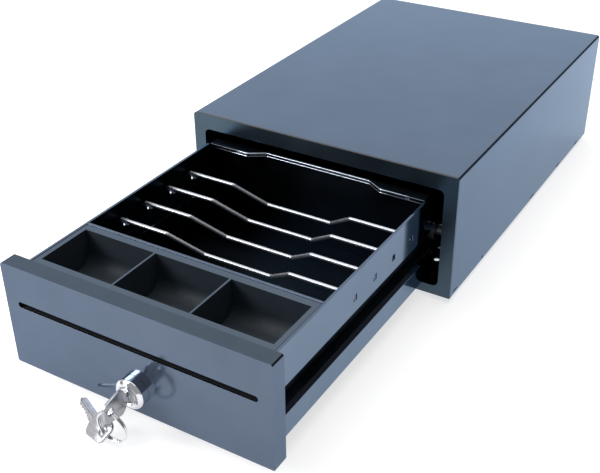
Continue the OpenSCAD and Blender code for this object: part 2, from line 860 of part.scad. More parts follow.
// A flat key in its own frame: blade along +X from the shoulder, bow along -X, flat in X and Z
module key_shape() {
    rotate([90, 0, 0])
        translate([0, 0, -key_t / 2])
            linear_extrude(key_t)
                difference() {
                    union() {
                        polygon([[-bow_l + 2, -7.5], [-bow_l, -5.5], [-bow_l, 5.5], [-bow_l + 2, 7.5],
                                 [-6, 10.3], [-3.6, 9.6], [-1.4, 7], [0, 4],
                                 [key_blade_l - 3, 4], [key_blade_l, 1.2], [key_blade_l, 0.2],
                                 [key_blade_l - 2, -1.4], [key_blade_l - 4, -0.6], [key_blade_l - 6, -2.4],
                                 [key_blade_l - 8, -2.4], [key_blade_l - 10, -0.8], [key_blade_l - 12, -2.8],
                                 [key_blade_l - 14, -1.6], [key_blade_l - 16, -3.4], [key_blade_l - 18, -4],
                                 [0, -4], [-1.4, -7], [-3.6, -9.6], [-6, -10.3], [-bow_l + 2, -7.5]]);
                    }
                    translate([-bow_hole_u, 0])
                        circle(r = bow_hole_r);
                }
}

module key_in_lock() color("#a4a5a8") at_lock()
    translate([0, bow_y, 0])
        rotate([0, 0, 90])
            key_shape();

module key_ring() color("#c4c6c9") at_drawer()
    translate([0, ring_y, ring_z])
        for (y = [-ring_offset, ring_offset])
            translate([0, y, 0])
                rotate([90, 0, 0])
                    rotate_extrude($fn = 72)
                        translate([ring_r, 0])
                            circle(r = ring_wire_r, $fn = 24);

module spare_key() color("#a4a5a8") at_drawer()
    translate([ring_r * cos(spare_at), ring_y, ring_z + ring_r * sin(spare_at)])
        rotate([spare_roll, 0, spare_turn])
            translate([bow_hole_u, 0, 0])
                rotate([90, 0, 0])
                    key_shape();

// ================= release gear =================

module lock_keeper() color("#9a9da1") at_front() {
    span([-16, keeper_y, sheet], [16, keeper_y + keeper_t, keeper_h]);
    span([-16, keeper_y, sheet], [16, keeper_y + 16, sheet + 1.2]);
}

module latch_bracket() color("#9a9da1") at_front() difference() {
    union() {
        span([-16, latch_y - 8, sheet], [16, latch_y + 14, 2 * sheet + 0.5]);
        both_sides()
            span([ear_x, latch_y - 6, sheet], [ear_x + ear_t, latch_y + 6, latch_z + 6]);
    }
    translate([-ear_x - ear_t - 1, latch_y, latch_z])
        bar_x(latch_pin_r, 2 * (ear_x + ear_t + 1));
}

module latch_pin() color("#b9bcc0") at_front()
    translate([-ear_x - ear_t - 1, latch_y, latch_z])
        bar_x(latch_pin_r, 2 * (ear_x + ear_t + 1));

module latch_lever() color("#c2a860") at_front() difference() {
    union() {
        translate([-latch_t / 2, latch_y, latch_z]) {
            bar_x(5, latch_t);
            // forward arm with its tooth
            translate([0, -20.5, -4])
                cube([latch_t, 20.5, 8]);
            translate([latch_t, -16.5, 0])
                rotate([0, -90, 0])
                    linear_extrude(latch_t)
                        polygon([[3, -4], [6, -4], [11.5, -0.5], [11.5, 0], [3, 0]]);
            // arm down to the plunger
            translate([0, -3.5, -latch_arm - 4.5])
                cube([latch_t, 7, latch_arm + 4.5]);
        }
    }
    translate([-latch_t, latch_y, latch_z])
        bar_x(latch_pin_r + turn_gap, 2 * latch_t);
    // upright slot for the plunger's pin
    translate([-latch_t, latch_y, latch_z - latch_arm]) {
        translate([0, -1.75, -1.2])
            cube([2 * latch_t, 3.5, 2.4]);
        for (z = [-1.2, 1.2])
            translate([0, 0, z])
                bar_x(1.75, 2 * latch_t);
    }
}

module solenoid_plunger() color("#b9bcc0") at_front() difference() {
    translate([0, latch_y, plunger_z]) {
        both_sides()
            span([latch_t / 2 + 0.4, -4, -3], [latch_t / 2 + 1.9, 12, 3]);
        translate([-latch_t / 2 - 1.9, 0, 0])
            bar_x(1.5, latch_t + 3.8);
        translate([0, 9.5, 0])
            bar_y(plunger_r + 1.6, 2);
        translate([0, 11, 0])
            bar_y(plunger_r, coil_y - latch_y + 20);
    }
}

module solenoid_frame() color("#8f9296") at_front() difference() {
    union() {
        span([-coil_r - 1.6, coil_y - 1.8, sheet], [coil_r + 1.6, coil_y + coil_l + 1.8, sheet + 1.2]);
        for (y = [coil_y - 1.8, coil_y + coil_l + 0.3])
            span([-coil_r - 1.6, y, sheet], [coil_r + 1.6, y + 1.5, plunger_z + coil_r]);
    }
    translate([0, coil_y - 3, plunger_z])
        bar_y(plunger_r + 0.35, 6);
}

module solenoid_coil() color("#3c2a22") at_front() difference() {
    translate([0, coil_y, plunger_z]) {
        bar_y(coil_r, 1.4);
        bar_y(coil_r - 0.9, coil_l);
        translate([0, coil_l - 1.4, 0])
            bar_y(coil_r, 1.4);
    }
    translate([0, coil_y - 1, plunger_z])
        bar_y(plunger_r + 0.35, coil_l + 2);
}

module plunger_spring() color("#c4c6c9") at_front()
    translate([0, latch_y + 11.7, plunger_z])
        coil_spring(plunger_r + 0.35 + spring_wire, 0.5, coil_y - latch_y - 13.9, 5);

module ejector_guide() color("#9a9da1") at_front() difference() {
    union() {
        span([ejector_x - 10, guide_y, sheet], [ejector_x + 10, guide_y + guide_l, 2 * sheet + 0.5]);
        for (y = [guide_y, guide_y + guide_l - 1.5])
            span([ejector_x - 8, y, sheet], [ejector_x + 8, y + 1.5, ejector_z + 8]);
    }
    translate([ejector_x, guide_y - 1, ejector_z])
        bar_y(ejector_r + turn_gap, guide_l + 2);
}

module ejector_pusher() color("#d8d5c8") at_front()
    translate([ejector_x, ejector_y, ejector_z]) {
        bar_y(ejector_head_r, 3);
        bar_y(ejector_r, guide_y + guide_l + 4 - ejector_y);
    }

module ejector_spring() color("#c4c6c9") at_front()
    translate([ejector_x, ejector_y + 3.2, ejector_z])
        coil_spring(ejector_r + 1.6, spring_wire, guide_y - ejector_y - 3.4, 9);

module drawer_switch() color("#1c1c1e") at_front() {
    difference() {
        span([switch_x - 10, rear_wall_y + 6, switch_z - 5], [switch_x + 10, rear_wall_y + 16, switch_z + 5]);
        translate([switch_x + 4, rear_wall_y + 5, switch_z])
            bar_y(1.2 + turn_gap, 4);
    }
    // stand that carries the switch
    span([switch_x - 8, rear_wall_y + 10, sheet], [switch_x - 6, rear_wall_y + 14, switch_z]);
    span([switch_x + 6, rear_wall_y + 10, sheet], [switch_x + 8, rear_wall_y + 14, switch_z]);
    span([switch_x - 10, rear_wall_y + 6, sheet], [switch_x + 10, rear_wall_y + 18, sheet + 1.4]);
}

module switch_button() color("#b23a2e") at_front()
    translate([switch_x + 4, rear_wall_y + sheet + 0.3 - button_throw, switch_z])
        bar_y(1.2, 7.5);

module release_socket() color("#1c1c1e") at_front() difference() {
    span([socket_x - socket_w / 2, rear_y - socket_l + sheet, socket_z - socket_h / 2],
         [socket_x + socket_w / 2, rear_y + sheet, socket_z + socket_h / 2]);
    span([socket_x - jack_w / 2, rear_y - socket_l + 3 * sheet, socket_z - jack_h / 2],
         [socket_x + jack_w / 2, rear_y + 2 * sheet, socket_z + jack_h / 2]);
    span([socket_x - 3, rear_y - socket_l + 3 * sheet, socket_z - jack_h / 2 - 1.8],
         [socket_x + 3, rear_y + 2 * sheet, socket_z]);
}

// Flat leads clipped along the base from the socket to the coil and to the switch
module internal_leads() color("#7a2320") at_front() {
    back = rear_y - socket_l + sheet;
    t = 1.2;
    run_x = coil_r + 2.8;
    span([socket_x + 1, back - t, sheet], [socket_x + 3, back, socket_z + 2]);
    span([socket_x + 1, back - t, sheet], [-run_x, back, sheet + t]);
    span([-run_x - 2, coil_y + coil_l / 2, sheet], [-run_x, back, sheet + t]);
    span([-run_x - 2, coil_y + coil_l / 2, sheet], [-run_x - 2 + t, coil_y + coil_l / 2 + 2, plunger_z]);
    span([-run_x - 2, coil_y + coil_l / 2, plunger_z - t], [-coil_r + 0.9, coil_y + coil_l / 2 + 2, plunger_z]);
    span([socket_x - 3, back - t, sheet], [socket_x - 1, back, socket_z + 2]);
    span([socket_x - 3, rear_wall_y + 21, sheet], [socket_x - 1, back, sheet + t]);
    span([socket_x - 3, rear_wall_y + 21, sheet], [switch_x, rear_wall_y + 23, sheet + t]);
    span([switch_x - 2, rear_wall_y + 21, sheet], [switch_x, rear_wall_y + 21 + t, switch_z]);
    span([switch_x - 2, rear_wall_y + 16, switch_z - t], [switch_x, rear_wall_y + 21 + t, switch_z]);
}

// ================= parts =================

housing_cover();
front_frame();
base_pan();
rear_panel();
rear_screws();
rail_left();
rail_right();
front_axles();
front_roller_left();
front_roller_right();
feet();
lock_keeper();
latch_bracket();
latch_pin();
latch_lever();
solenoid_frame();
solenoid_coil();
solenoid_plunger();
plunger_spring();
ejector_guide();
ejector_pusher();
ejector_spring();
drawer_switch();
switch_button();
release_socket();
internal_leads();
front_panel();
panel_back();
media_chute();
drawer_floor();
drawer_side_left();
drawer_side_right();
note_partition();
drawer_rear_wall();
striker();
rear_axles();
rear_roller_left();
rear_roller_right();
coin_ledges();
coin_tray();
note_wire_1();
note_wire_2();
note_wire_3();
note_wire_4();
lock_barrel();
lock_nut();
lock_plug();
lock_cam();
cam_screw();
key_in_lock();
key_ring();
spare_key();
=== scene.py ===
import math
import bpy
import bmesh
from mathutils import Matrix, Vector


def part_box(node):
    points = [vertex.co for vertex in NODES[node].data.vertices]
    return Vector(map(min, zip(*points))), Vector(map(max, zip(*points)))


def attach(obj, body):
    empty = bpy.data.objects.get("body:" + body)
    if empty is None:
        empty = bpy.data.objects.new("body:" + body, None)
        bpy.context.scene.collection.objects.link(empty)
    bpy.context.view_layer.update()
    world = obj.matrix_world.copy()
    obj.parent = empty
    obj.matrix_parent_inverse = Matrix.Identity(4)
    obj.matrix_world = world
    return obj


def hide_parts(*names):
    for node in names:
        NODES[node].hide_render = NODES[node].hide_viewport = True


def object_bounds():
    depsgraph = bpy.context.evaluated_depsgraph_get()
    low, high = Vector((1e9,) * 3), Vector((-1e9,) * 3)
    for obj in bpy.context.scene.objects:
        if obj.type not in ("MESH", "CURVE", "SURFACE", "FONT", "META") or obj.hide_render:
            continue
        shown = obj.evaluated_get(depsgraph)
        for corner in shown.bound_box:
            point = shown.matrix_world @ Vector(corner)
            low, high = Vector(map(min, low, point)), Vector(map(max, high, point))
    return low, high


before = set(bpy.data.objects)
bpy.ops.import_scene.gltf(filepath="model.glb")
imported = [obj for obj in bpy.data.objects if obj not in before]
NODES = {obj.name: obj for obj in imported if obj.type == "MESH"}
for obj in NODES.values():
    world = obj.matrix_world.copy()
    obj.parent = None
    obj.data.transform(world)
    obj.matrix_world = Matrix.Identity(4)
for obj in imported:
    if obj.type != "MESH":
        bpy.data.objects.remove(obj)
CAD_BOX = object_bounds()
MM = 0.001
scene = bpy.context.scene

# sizes in mm; the origin is the middle of the base's underside
HOUSING_D = 356.0
TRAVEL = 241.0
OUTER_X = CAD_BOX[1].x / MM
TOP_Z = CAD_BOX[1].z / MM
FRONT_Y = -HOUSING_D / 2
PANEL_Y = FRONT_Y - TRAVEL
SIDE_X = 101.7
PANEL_INSIDE_X = 108.0
WALL_TOP = 88.7


# ------------------------------------------------------------------ camera
cam_data = bpy.data.cameras.new("camera")
cam = bpy.data.objects.new("camera", cam_data)
scene.collection.objects.link(cam)
cam_data.sensor_fit = "HORIZONTAL"
cam_data.sensor_width = 36.0
cam_data.lens = 59.17
cam_data.clip_start = 0.01
cam_data.clip_end = 50.0
forward = Vector((-0.4434, 0.7290, -0.5215)).normalized()
right = Vector((0.8569, 0.5154, -0.0080))
right = (right - right.dot(forward) * forward).normalized()
up = right.cross(forward)
eye = Vector((357.9, -794.7, 457.2)) * MM
cam.matrix_world = Matrix(((right.x, up.x, -forward.x, eye.x),
                           (right.y, up.y, -forward.y, eye.y),
                           (right.z, up.z, -forward.z, eye.z),
                           (0, 0, 0, 1)))
scene.camera = cam
scene.view_settings.view_transform = "Standard"
scene.view_settings.look = "None"
scene.view_settings.exposure = 0.0
scene.view_settings.gamma = 1.0


# --------------------------------------------------------------- materials
def new_material(name):
    mat = bpy.data.materials.new(name)
    mat.use_nodes = True
    nt = mat.node_tree
    bsdf = nt.nodes["Principled BSDF"]
    return mat, nt, bsdf


def place(nt, scale=(1, 1, 1)):
    tc = nt.nodes.new("ShaderNodeTexCoord")
    mp = nt.nodes.new("ShaderNodeMapping")
    mp.inputs["Scale"].default_value = scale
    nt.links.new(tc.outputs["Object"], mp.inputs["Vector"])
    return mp.outputs["Vector"]


def noise(nt, vec, scale, detail=3.0, rough=0.5):
    n = nt.nodes.new("ShaderNodeTexNoise")
    n.inputs["Scale"].default_value = scale
    n.inputs["Detail"].default_value = detail
    n.inputs["Roughness"].default_value = rough
    nt.links.new(vec, n.inputs["Vector"])
    return n.outputs["Fac"]


def ramp(nt, fac, stops):
    r = nt.nodes.new("ShaderNodeValToRGB")
    els = r.color_ramp.elements
    els[0].position, els[0].color = stops[0][0], stops[0][1]
    els[1].position, els[1].color = stops[-1][0], stops[-1][1]
    for pos, c in stops[1:-1]:
        e = els.new(pos)
        e.color = c
    nt.links.new(fac, r.inputs["Fac"])
    return r.outputs["Color"]


def grey(v):
    return (v, v, v, 1.0)


def spread(c, k):
    return (min(1, c[0] * k), min(1, c[1] * k), min(1, c[2] * k), 1.0)


def bump(nt, bsdf, height, strength, distance):
    b = nt.nodes.new("ShaderNodeBump")
    b.inputs["Strength"].default_value = strength
    b.inputs["Distance"].default_value = distance
    nt.links.new(height, b.inputs["Height"])
    nt.links.new(b.outputs["Normal"], bsdf.inputs["Normal"])


def surface(name, colour, metallic, rough, rough_var=0.04, tone=0.08, tone_scale=40.0,
            grain=None, grain_strength=0.1, grain_distance=0.00002, scale=(1, 1, 1), coat=0.0, ior=1.5):
    """A procedural surface: uneven tone, uneven gloss and a fine relief."""
    mat, nt, bsdf = new_material(name)
    vec = place(nt, scale)
    broad = noise(nt, vec, tone_scale, 4.0, 0.6)
    c = ramp(nt, broad, [(0.3, spread(colour, 1 - tone)), (0.7, spread(colour, 1 + tone))])
    nt.links.new(c, bsdf.inputs["Base Color"])
    bsdf.inputs["Metallic"].default_value = metallic
    bsdf.inputs["IOR"].default_value = ior
    fine = noise(nt, vec, tone_scale * 6.0, 3.0, 0.6)
    low = grey(max(0.02, rough - rough_var))
    high = grey(min(1, rough + rough_var))
    r = ramp(nt, fine, [(0.3, low), (0.7, high)])
    nt.links.new(r, bsdf.inputs["Roughness"])
    if grain:
        g = noise(nt, vec, grain, 2.0, 0.5)
        bump(nt, bsdf, g, grain_strength, grain_distance)
    bsdf.inputs["Coat Weight"].default_value = coat
    return mat


def paint(name, colour, rough, peel=0.10):
    """Glossy powder coat: orange peel, faint mottling, tiny specks of dust."""
    mat, nt, bsdf = new_material(name)
    vec = place(nt)
    mott = noise(nt, vec, 22.0, 5.0, 0.65)
    base = ramp(nt, mott, [(0.25, spread(colour, 0.93)), (0.75, spread(colour, 1.07))])
    specks = nt.nodes.new("ShaderNodeTexVoronoi")
    specks.inputs["Scale"].default_value = 260.0
    nt.links.new(vec, specks.inputs["Vector"])
    dust = ramp(nt, specks.outputs["Distance"], [(0.0, grey(1.0)), (0.045, grey(0.0)), (1.0, grey(0.0))])
    patches = noise(nt, vec, 9.0, 2.0, 0.5)
    where = ramp(nt, patches, [(0.56, grey(0.0)), (0.70, grey(0.5))])
    both = nt.nodes.new("ShaderNodeMath")
    both.operation = "MULTIPLY"
    nt.links.new(dust, both.inputs[0])
    nt.links.new(where, both.inputs[1])
    mix = nt.nodes.new("ShaderNodeMix")
    mix.data_type = "RGBA"
    nt.links.new(both.outputs[0], mix.inputs["Factor"])
    nt.links.new(base, mix.inputs["A"])
    mix.inputs["B"].default_value = spread(colour, 1.5)
    nt.links.new(mix.outputs["Result"], bsdf.inputs["Base Color"])
    bsdf.inputs["Metallic"].default_value = 1.0
    bsdf.inputs["Specular Tint"].default_value = (0.74, 0.86, 1.0, 1.0)
    smear = noise(nt, place(nt, (1.0, 2.6, 1.0)), 14.0, 4.0, 0.6)
    r = ramp(nt, smear, [(0.35, grey(rough * 0.82)), (0.7, grey(rough * 1.25))])
    nt.links.new(r, bsdf.inputs["Roughness"])
    peel_noise = noise(nt, vec, 620.0, 2.0, 0.5)
    n1 = nt.nodes.new("ShaderNodeBump")
    n1.inputs["Strength"].default_value = peel
    n1.inputs["Distance"].default_value = 0.00004
    nt.links.new(peel_noise, n1.inputs["Height"])
    wave = noise(nt, vec, 36.0, 2.0, 0.5)
    n2 = nt.nodes.new("ShaderNodeBump")
    n2.inputs["Strength"].default_value = 0.10
    n2.inputs["Distance"].default_value = 0.00012
    nt.links.new(wave, n2.inputs["Height"])
    nt.links.new(n1.outputs["Normal"], n2.inputs["Normal"])
    nt.links.new(n2.outputs["Normal"], bsdf.inputs["Normal"])
    return mat


PAINT = (0.101, 0.127, 0.176)
M = {
    "paint": paint("paint", PAINT, 0.13),
    "paint_side": paint("paint_side", PAINT, 0.10),
    # painted light: a lighter copy of the paint for the drawer sides' outer faces, which read brighter where
    # light falls
    "paint_painted_light": paint("paint_painted_light", (0.148, 0.184, 0.245), 0.10),
    # satin finish, with painted shade: a darker copy of the paint for the front frame's face and the rear
    # wall's top faces
    "paint_satin_painted_shade": paint("paint_satin_painted_shade", (0.060, 0.088, 0.115), 0.34),
    # painted shade: a darker copy of the paint for the front panel's top faces
    "paint_painted_shade": paint("paint_painted_shade", (0.060, 0.076, 0.100), 0.22),
    # painted shade: a near-black copy of the paint for inner faces, the floor, the partition's faces and
    # other parts deep inside the drawer
    "paint_inside_painted_shade": paint("paint_inside_painted_shade", (0.020, 0.026, 0.034), 0.30),
    # painted shade: a dark copy of the paint for recesses, the drawer sides' rail channel and the frame's
    # faces behind its front plane
    "channel": paint("channel", (0.034, 0.048, 0.062), 0.42),
    # painted highlight: a pale copy of the paint for the rolled hems and beads, so they show as bright edge
    # lines
    "hem": paint("hem", (0.36, 0.40, 0.47), 0.16),
    # painted shade: the coin tray is near-black all over so its wells read shaded; its rim tops take a
    # lighter copy as painted light
    "tray": surface("tray", (0.011, 0.018, 0.026), 0.0, 0.62, 0.06, 0.15, 60, 1500, 0.25, 0.00006,
                    ior=1.4),
    "tray_rim": paint("tray_rim", (0.080, 0.100, 0.130), 0.26),
    "chrome": surface("chrome", (0.66, 0.665, 0.69), 1.0, 0.09, 0.03, 0.03, 90, 500, 0.03, 0.00002),
    "nickel": surface("nickel", (0.36, 0.365, 0.39), 1.0, 0.30, 0.06, 0.06, 160, 1800, 0.25, 0.00003),
    "wire": surface("wire", (0.42, 0.44, 0.48), 1.0, 0.42, 0.05, 0.05, 120, 1300, 0.15, 0.00003,
                    (0.35, 1, 1)),
    "zinc": surface("zinc", (0.52, 0.53, 0.54), 1.0, 0.34, 0.08, 0.12, 70, 700, 0.2, 0.00004),
    "yellow": surface("yellow_zinc", (0.62, 0.47, 0.22), 1.0, 0.32, 0.08, 0.15, 90, 700, 0.2, 0.00004),
    "steel": surface("spring_steel", (0.46, 0.46, 0.47), 1.0, 0.25, 0.05, 0.08, 150, 900, 0.1, 0.00002),
    "nylon": surface("nylon", (0.022, 0.023, 0.026), 0.0, 0.40, 0.06, 0.05, 60, 900, 0.15, 0.00004),
    "acetal": surface("acetal", (0.70, 0.67, 0.58), 0.0, 0.38, 0.06, 0.05, 60, 900, 0.15, 0.00004),
    "rubber": surface("rubber", (0.020, 0.020, 0.021), 0.0, 0.78, 0.08, 0.2, 120, 900, 0.4, 0.0001),
    "plastic": surface("plastic", (0.022, 0.022, 0.024), 0.0, 0.42, 0.06, 0.15, 90, 1100, 0.25, 0.00006),
    "red": surface("red_plastic", (0.42, 0.035, 0.025), 0.0, 0.40, 0.06, 0.1, 90, 1100, 0.15, 0.00004),
    "tape": surface("coil_tape", (0.20, 0.075, 0.035), 0.0, 0.32, 0.06, 0.2, 120, 900, 0.3, 0.00006,
                    coat=0.3),
    # painted shade: near-black for slot sides, the media chute, the frame's top edge face and the base pan's
    # side flanges, so they read as shaded gaps
    "slot_painted_shade": surface("slot_painted_shade", (0.010, 0.011, 0.013), 0.0, 0.5, 0.06, 0.2, 90, 900, 0.2, 0.00005),
}


def give(obj, mat, zones=()):
    """One material all over, and others on the faces that a zone's test picks (centre and normal, in mm)."""
    mats = obj.data.materials
    mats.clear()
    mats.append(M[mat])
    index = [0] * len(obj.data.polygons)
    for number, (test, zone_mat) in enumerate(zones, 1):
        mats.append(M[zone_mat])
        for i, face in enumerate(obj.data.polygons):
            if test(face.center / MM, face.normal):
                index[i] = number
    obj.data.polygons.foreach_set("material_index", index)


# -------------------------------------------------------------- CAD pieces
def smooth_faces(obj):
    me = obj.data
    for name in ("custom_normal", "sharp_face", "sharp_edge"):
        a = me.attributes.get(name)
        if a is not None:
            me.attributes.remove(a)
    me.polygons.foreach_set("use_smooth", [True] * len(me.polygons))
    me.update()


# merging the flat triangles of a piece with openings leaves faces that cross them
KEEP_TRIANGLES = ("coin_tray", "front_frame", "striker", "panel_back")


def soften(node, mat, width, segments=2, angle=32.0):
    """A CAD node with rounded edges: weld, merge flat triangles where that is safe, bevel."""
    obj = NODES[node]
    give(obj, mat, ZONES.get(node, ()))
    smooth_faces(obj)
    w = obj.modifiers.new("weld", "WELD")
    w.merge_threshold = 0.000002
    if node not in KEEP_TRIANGLES:
        d = obj.modifiers.new("flat", "DECIMATE")
        d.decimate_type = "DISSOLVE"
        d.angle_limit = math.radians(0.3)
        d.delimit = {"MATERIAL"}
    if width:
        b = obj.modifiers.new("bevel", "BEVEL")
        b.width = width * MM
        b.segments = segments
        b.limit_method = "ANGLE"
        b.angle_limit = math.radians(angle)
        b.miter_outer = "MITER_ARC"
        b.use_clamp_overlap = True
        b.harden_normals = False
    e = obj.modifiers.new("creases", "EDGE_SPLIT")
    e.split_angle = math.radians(50)
    e.use_edge_sharp = False
    n = obj.modifiers.new("normals", "WEIGHTED_NORMAL")
    n.keep_sharp = True
    n.weight = 80


# faces inside the drawer side's rail channel, which get painted shade
def in_channel(c, n):
    return abs(c.x) < SIDE_X - 2.6 and 34.9 < c.z < 57 and c.y < FRONT_Y + 70


ZONES = {
    # painted shade: the frame's top edge face near-black as a shaded groove, its faces behind the front
    # plane dark as a shaded recess
    "front_frame": [(lambda c, n: n.z > 0.8 and c.z > TOP_Z - 1, "slot_painted_shade"),
                    (lambda c, n: c.y > FRONT_Y + 0.5 and c.z < TOP_Z - 1 and abs(c.x) < OUTER_X - 2,
                     "channel")],
    # painted shade: the pan's side flanges near-black so the tab slots read as shaded holes
    "base_pan": [(lambda c, n: abs(c.x) > OUTER_X - 4, "slot_painted_shade")],
    # painted shade: the panel's top faces darker, the sides of its openings near-black
    "front_panel": [(lambda c, n: n.z > 0.8 and c.y > PANEL_Y + 0.5, "paint_painted_shade"),
                    (lambda c, n: abs(n.z) < 0.5 and abs(c.x) < PANEL_INSIDE_X and c.y > PANEL_Y + 1,
                     "slot_painted_shade")],
    # drawer sides: painted shade in the rail channel and on the inner faces, painted light (a lighter copy
    # of the paint) on the outer faces
    "drawer_side_left": [(in_channel, "channel"), (lambda c, n: n.x > 0.5 and c.x > -SIDE_X, "paint_inside_painted_shade"),
                         (lambda c, n: n.x < -0.5 and c.x < 0.05 - SIDE_X, "paint_painted_light")],
    "drawer_side_right": [(in_channel, "channel"), (lambda c, n: n.x < -0.5 and c.x < SIDE_X, "paint_inside_painted_shade"),
                          (lambda c, n: n.x > 0.5 and c.x > SIDE_X - 0.05, "paint_painted_light")],
    # painted shade on the partition's broad faces
    "note_partition": [(lambda c, n: abs(n.y) > 0.5, "paint_inside_painted_shade")],
    # the rear wall is dark all over as painted shade, and its top faces take the satin copy, less dark
    "drawer_rear_wall": [(lambda c, n: n.z > 0.8, "paint_satin_painted_shade")],
    # painted light: the tray's rim tops lighter than the rest of the tray, which is dark as painted shade
    "coin_tray": [(lambda c, n: n.z > 0.8 and c.z > 85, "tray_rim")],
}
# these defaults put painted shade on inner parts (the dark inside paint, the slot paint, the tray paint) and
# a shaded satin copy of the paint on the front frame
CAD_LOOKS = [
    ("housing_cover", "paint", 0.42, 3), ("front_frame", "paint_satin_painted_shade", 0.6, 3),
    ("base_pan", "paint", 0.2, 2), ("rear_panel", "paint", 0.3, 2),
    ("rear_screws", "zinc", 0.12, 1), ("rail_left", "zinc", 0.25, 2), ("rail_right", "zinc", 0.25, 2),
    ("front_axles", "zinc", 0.15, 1), ("front_roller_left", "nylon", 0.3, 2),
    ("front_roller_right", "nylon", 0.3, 2), ("feet", "rubber", 0.3, 2), ("lock_keeper", "zinc", 0.3, 2),
    ("latch_bracket", "zinc", 0.25, 2), ("latch_pin", "zinc", 0.2, 1), ("latch_lever", "yellow", 0.3, 2),
    ("solenoid_frame", "zinc", 0.25, 2), ("solenoid_plunger", "zinc", 0.25, 2),
    ("ejector_guide", "zinc", 0.25, 2), ("ejector_pusher", "acetal", 0.5, 2),
    ("drawer_switch", "plastic", 0.35, 2), ("switch_button", "red", 0.3, 2),
    ("release_socket", "plastic", 0.3, 2), ("internal_leads", "red", 0.3, 2),
    ("front_panel", "paint", 0.55, 3), ("panel_back", "paint_inside_painted_shade", 0.2, 2),
    ("media_chute", "slot_painted_shade", 0.1, 1),
    ("drawer_floor", "paint_inside_painted_shade", 0.2, 1), ("drawer_side_left", "paint_side", 0.28, 2),
    ("drawer_side_right", "paint_side", 0.28, 2), ("note_partition", "paint_side", 0.45, 2),
    ("drawer_rear_wall", "paint_inside_painted_shade", 0.3, 2), ("striker", "zinc", 0.25, 2), ("rear_axles", "zinc", 0.15, 1),
    ("rear_roller_left", "nylon", 0.3, 2), ("rear_roller_right", "nylon", 0.3, 2),
    ("coin_ledges", "paint_inside_painted_shade", 0.2, 1), ("coin_tray", "tray", 0.5, 3),
    ("lock_nut", "zinc", 0.3, 2), ("lock_cam", "zinc", 0.25, 2), ("cam_screw", "zinc", 0.25, 2),
    ("lock_barrel", "chrome", 0.3, 3), ("lock_plug", "chrome", 0.22, 2),
]
for node, mat, width, seg in CAD_LOOKS:
    soften(node, mat, width, seg)


# ---------------------------------------------------------------- helpers
def mesh_piece(name, verts, faces, body, mat):
    me = bpy.data.meshes.new(name)
    me.from_pydata([tuple(v) for v in verts], [], faces)
    me.validate()
    bm = bmesh.new()
    bm.from_mesh(me)
    bmesh.ops.remove_doubles(bm, verts=bm.verts, dist=1e-7)
    bmesh.ops.recalc_face_normals(bm, faces=bm.faces)
    bm.to_mesh(me)
    bm.free()
    me.polygons.foreach_set("use_smooth", [True] * len(me.polygons))
    me.materials.append(M[mat])
    ob = bpy.data.objects.new(name, me)
    scene.collection.objects.link(ob)
    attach(ob, body)
    return ob


def sharpen(ob, angle):
    ob.data.set_sharp_from_angle(angle=math.radians(angle))


def rounded_path(points, radius, steps=6):
    """A polyline with its corners rounded off by arcs."""
    pts = [Vector(p) for p in points]
    out = [pts[0]]
    for i in range(1, len(pts) - 1):
        a, b, c = pts[i - 1], pts[i], pts[i + 1]
        d0, d1 = (a - b).normalized(), (c - b).normalized()
        half = d0.angle(d1) / 2
        r = min(radius, 0.45 * min((a - b).length, (c - b).length) * math.tan(half))
        t = r / math.tan(half)
        centre = b + (d0 + d1).normalized() * (r / math.sin(half))
        s, e = b + d0 * t, b + d1 * t
        v0, v1 = (s - centre), (e - centre)
        ang = v0.angle(v1)
        for k in range(steps + 1):
            f = k / steps
            v = (v0 * math.sin((1 - f) * ang) + v1 * math.sin(f * ang)) / math.sin(ang)
            out.append(centre + v)
    out.append(pts[-1])
    return out


def tube(points, radius, sides):
    """Vertices and faces of a round bar along a path, with softly domed ends."""
    n = len(points)
    tang = []
    for i in range(n):
        a, b = points[max(0, i - 1)], points[min(n - 1, i + 1)]
        tang.append((b - a).normalized())
    ref = Vector((0, 0, 1)) if abs(tang[0].z) < 0.9 else Vector((0, 1, 0))
    u = tang[0].cross(ref).normalized()
    verts, faces, rings = [], [], []
    stations = []
    for back, shrink in ((1.0, 0.55), (0.97, 0.85), (0.85, 1.0)):
        stations.append((points[0] + tang[0] * radius * (1 - back), tang[0], shrink))
    for i in range(1, n - 1):
        stations.append((points[i], tang[i], 1.0))
    for back, shrink in ((0.85, 1.0), (0.97, 0.85), (1.0, 0.55)):
        stations.append((points[-1] - tang[-1] * radius * (1 - back), tang[-1], shrink))
    for p, t, s in stations:
        u = (u - u.dot(t) * t).normalized()
        v = t.cross(u)
        rings.append(len(verts))
        for j in range(sides):
            a = 2 * math.pi * j / sides
            verts.append(p + (u * math.cos(a) + v * math.sin(a)) * radius * s)
    for i in range(len(rings) - 1):
        for j in range(sides):
            k = (j + 1) % sides
            faces.append((rings[i] + j, rings[i] + k, rings[i + 1] + k, rings[i + 1] + j))
    faces.append(tuple(rings[0] + j for j in range(sides))[::-1])
    faces.append(tuple(rings[-1] + j for j in range(sides)))
    return verts, faces


# -------------------------------------------------------------- note wires
def D(x, offset, z):
    """A point of the drawer: offset is measured back from the panel's front face."""
    return Vector((x, PANEL_Y + offset, z)) * MM


def F(x, y, z):
    """A point of the housing: y is measured back from its front plane."""
    return Vector((x, FRONT_Y + y, z)) * MM


WIRE_N = 4
WIRE_R = 1.47
WIRE_PITCH = 29.4
WIRE_LAST = TRAVEL - 34.8
WIRE_Z = 67.52
WIRE_TURN_X = 98.5
WIRE_END_X = SIDE_X - 1.3


